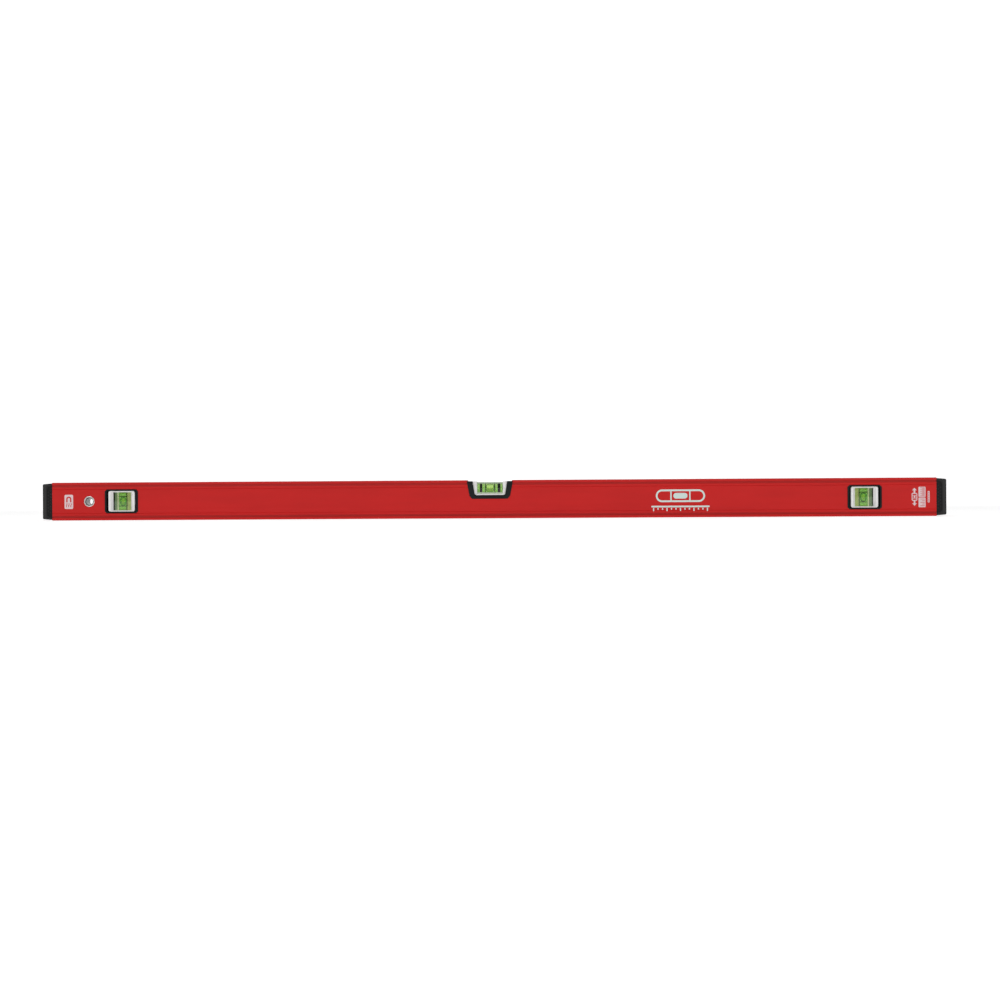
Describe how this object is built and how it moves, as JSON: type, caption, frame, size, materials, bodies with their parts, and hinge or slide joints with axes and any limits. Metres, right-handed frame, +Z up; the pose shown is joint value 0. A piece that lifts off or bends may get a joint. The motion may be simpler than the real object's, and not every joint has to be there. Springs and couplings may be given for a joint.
{
  "type": "spirit level",
  "caption": "Long box-section spirit level with a block vial read from the top and both sides, plumb vials towards each end, a lined hang hole, magnets in the base and pull-off end caps.",
  "frame": {"origin": "middle of the lower measuring face, which lies in the plane z = 0", "axes": "+X along the level, away from the hang hole; +Z up, with the level standing on its lower measuring face; -Y towards the reader of the front face"},
  "size_m": [1.22, 0.022, 0.0515],
  "materials": {
    "beam_coat": "satin red powder coat on extruded aluminium",
    "cap_rubber": "matte black moulded elastomer",
    "cap_plastic": "black glass-filled nylon, moulded",
    "trim_black": "satin black ABS, fine mould texture",
    "carrier_white": "white ABS, semi-gloss",
    "vial_acrylic": "clear cast acrylic, polished",
    "vial_fluid": "clear yellow-green spirit",
    "vial_bubble": "air bubble",
    "vial_plug": "clear acrylic plug, cemented",
    "vial_marks": "black marker rings",
    "eyelet_steel": "nickel-plated steel, turned",
    "pot_steel": "zinc-plated steel pot",
    "magnet_plating": "nickel-plated magnet"
  },
  "bodies": {
    "level_body": {"beam": "beam_coat", "hang_eyelet": "eyelet_steel", "left_plumb_bezel_front": "trim_black", "left_plumb_bezel_rear": "trim_black", "left_plumb_block": "vial_acrylic", "left_plumb_carrier_front": "carrier_white", "left_plumb_carrier_rear": "carrier_white", "left_plumb_fluid": "vial_fluid", "left_plumb_lines": "vial_marks", "left_plumb_plug": "vial_plug", "magnet_1": "magnet_plating", "magnet_2": "magnet_plating", "magnet_3": "magnet_plating", "magnet_4": "magnet_plating", "magnet_pot_1": "pot_steel", "magnet_pot_2": "pot_steel", "magnet_pot_3": "pot_steel", "magnet_pot_4": "pot_steel", "main_vial_bands": "vial_marks", "main_vial_block": "vial_acrylic", "main_vial_fluid": "vial_fluid", "main_vial_housing": "carrier_white", "main_vial_lines": "vial_marks", "main_vial_plug": "vial_plug", "main_vial_saddle": "trim_black", "right_plumb_bezel_front": "trim_black", "right_plumb_bezel_rear": "trim_black", "right_plumb_block": "vial_acrylic", "right_plumb_carrier_front": "carrier_white", "right_plumb_carrier_rear": "carrier_white", "right_plumb_fluid": "vial_fluid", "right_plumb_lines": "vial_marks", "right_plumb_plug": "vial_plug"},
    "left_cap": {"left_cap_bumper": "cap_rubber", "left_cap_core": "cap_plastic"},
    "right_cap": {"right_cap_bumper": "cap_rubber", "right_cap_core": "cap_plastic"},
    "main_bubble": {"main_vial_bubble": "vial_bubble"},
    "left_bubble": {"left_plumb_bubble": "vial_bubble"},
    "right_bubble": {"right_plumb_bubble": "vial_bubble"}
  },
  "joints": [
    {"name": "left_cap_pull", "type": "slide", "parent": "level_body", "child": "left_cap", "axis": [-1, 0, 0], "range_m": [0, 0.032]},
    {"name": "right_cap_pull", "type": "slide", "parent": "level_body", "child": "right_cap", "axis": [1, 0, 0], "range_m": [0, 0.032]},
    {"name": "main_bubble_slide", "type": "slide", "parent": "level_body", "child": "main_bubble", "axis": [1, 0, 0], "range_m": [-0.0105, 0.0105], "stiffness_N_per_m": 20, "deforming": ["main_vial_fluid"]},
    {"name": "left_bubble_slide", "type": "slide", "parent": "level_body", "child": "left_bubble", "axis": [0, 0, 1], "range_m": [-0.006, 0.006], "stiffness_N_per_m": 20, "deforming": ["left_plumb_fluid"]},
    {"name": "right_bubble_slide", "type": "slide", "parent": "level_body", "child": "right_bubble", "axis": [0, 0, 1], "range_m": [-0.006, 0.006], "stiffness_N_per_m": 20, "deforming": ["right_plumb_fluid"]}
  ]
}
